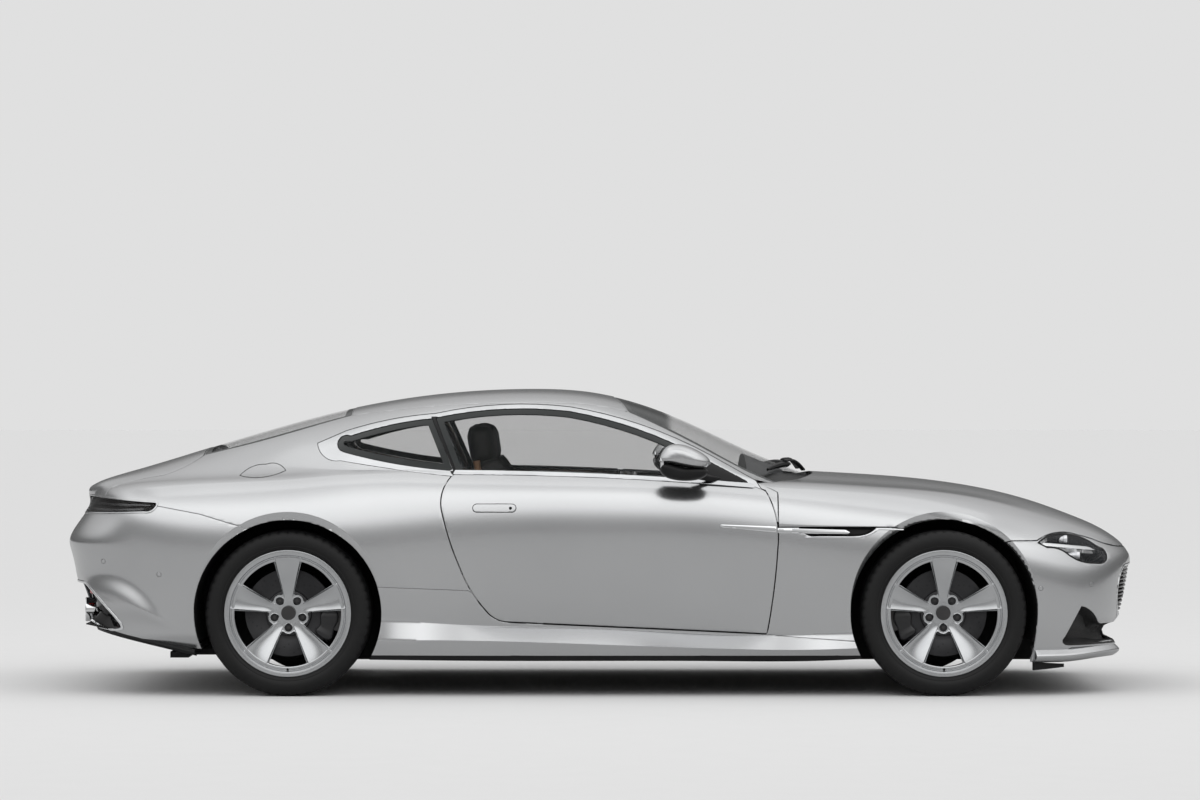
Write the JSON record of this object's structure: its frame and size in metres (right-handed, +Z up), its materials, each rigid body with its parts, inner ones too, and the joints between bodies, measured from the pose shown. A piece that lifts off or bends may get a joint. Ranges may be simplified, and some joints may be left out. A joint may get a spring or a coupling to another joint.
{
  "type": "two-door grand touring coupe car",
  "caption": "Low two-door coupe with a long front-hinged bonnet, sloping rear window, hinged doors and boot lid, and steered, rolling wheels.",
  "frame": {"origin": "on the ground, under the middle of the bounding box", "axes": "+X to the nose, +Y to the car's left, +Z up"},
  "size_m": [4.69, 2.09, 1.3154],
  "materials": {
    "paint": "silver metallic",
    "glass": "tinted",
    "black": "black grained plastic",
    "mesh": "dark grille",
    "alloy": "silver wheel",
    "tyre": "black rubber",
    "chrome": "polished",
    "lamp": "clear lens",
    "red_lamp": "red lens",
    "iron": "suspension and castings",
    "trim": "dark brown leather",
    "dash": "soft dark plastic"
  },
  "bodies": {
    "body": {"roof_panel": "paint", "windscreen": "glass", "rear_window": "glass", "quarter_windows": "glass", "body_sides": "paint", "front_fenders": "paint", "headlamps": "lamp", "front_bumper": "paint", "grille": "mesh", "front_splitter": "black", "tail_lamps": "red_lamp", "rear_bumper": "paint", "rear_diffuser": "black", "exhaust_tips": "chrome", "sills": "paint", "floor_pan": "black", "firewall": "black", "wheel_liners": "black", "boot_tub": "dash", "front_crossmember": "iron", "front_seats": "trim", "rear_seats": "trim", "rear_bulkhead": "dash", "centre_console": "dash", "dashboard": "dash", "engine_block": "iron", "rear_hub_carriers": "iron", "front_wishbones": "iron", "rear_wishbones": "iron"},
    "right_door": {"right_door": "paint", "right_door_glass": "glass", "right_mirror": "paint"},
    "left_door": {"left_door": "paint", "left_door_glass": "glass", "left_mirror": "paint"},
    "bonnet": {"bonnet": "paint"},
    "boot_lid": {"boot_lid": "paint"},
    "steering_wheel": {"steering_wheel": "trim"},
    "front_right_knuckle": {"front_right_knuckle": "iron"},
    "front_left_knuckle": {"front_left_knuckle": "iron"},
    "front_right_wheel": {"front_right_tyre": "tyre", "front_right_wheel": "alloy"},
    "front_left_wheel": {"front_left_tyre": "tyre", "front_left_wheel": "alloy"},
    "rear_right_wheel": {"rear_right_tyre": "tyre", "rear_right_wheel": "alloy"},
    "rear_left_wheel": {"rear_left_tyre": "tyre", "rear_left_wheel": "alloy"}
  },
  "joints": [
    {"name": "right_door_hinge", "type": "hinge", "parent": "body", "child": "right_door", "pos_m": [0.752, -0.942, 0.6], "axis": [0, 0, 1], "range_deg": [0, 65]},
    {"name": "left_door_hinge", "type": "hinge", "parent": "body", "child": "left_door", "pos_m": [0.752, 0.942, 0.6], "axis": [0, 0, -1], "range_deg": [0, 65]},
    {"name": "bonnet_hinge", "type": "hinge", "parent": "body", "child": "bonnet", "pos_m": [2.335, 0, 0.622], "axis": [0, 1, 0], "range_deg": [0, 50]},
    {"name": "boot_lid_hinge", "type": "hinge", "parent": "body", "child": "boot_lid", "pos_m": [-1.742, 0, 1.064], "axis": [0, 1, 0], "range_deg": [0, 80]},
    {"name": "right_steer", "type": "hinge", "parent": "body", "child": "front_right_knuckle", "pos_m": [1.462, -0.78, 0.354], "axis": [0, 0, 1], "range_deg": [-33, 33]},
    {"name": "left_steer", "type": "hinge", "parent": "body", "child": "front_left_knuckle", "pos_m": [1.462, 0.78, 0.354], "axis": [0, 0, 1], "range_deg": [-33, 33]},
    {"name": "front_right_wheel_spin", "type": "hinge", "parent": "front_right_knuckle", "child": "front_right_wheel", "pos_m": [1.462, -0.81, 0.354], "axis": [0, 1, 0], "continuous": true},
    {"name": "rear_right_wheel_spin", "type": "hinge", "parent": "body", "child": "rear_right_wheel", "pos_m": [-1.343, -0.81, 0.354], "axis": [0, 1, 0], "continuous": true},
    {"name": "front_left_wheel_spin", "type": "hinge", "parent": "front_left_knuckle", "child": "front_left_wheel", "pos_m": [1.462, 0.81, 0.354], "axis": [0, 1, 0], "continuous": true},
    {"name": "rear_left_wheel_spin", "type": "hinge", "parent": "body", "child": "rear_left_wheel", "pos_m": [-1.343, 0.81, 0.354], "axis": [0, 1, 0], "continuous": true},
    {"name": "steering_wheel_turn", "type": "hinge", "parent": "body", "child": "steering_wheel", "pos_m": [0.25, 0.37, 0.83], "axis": [-0.9135, 0, 0.4067], "range_deg": [-462, 462]}
  ],
  "couplings": [
    {"joint": "left_steer", "follows": "right_steer", "ratio": 1},
    {"joint": "steering_wheel_turn", "follows": "right_steer", "ratio": 14}
  ]
}
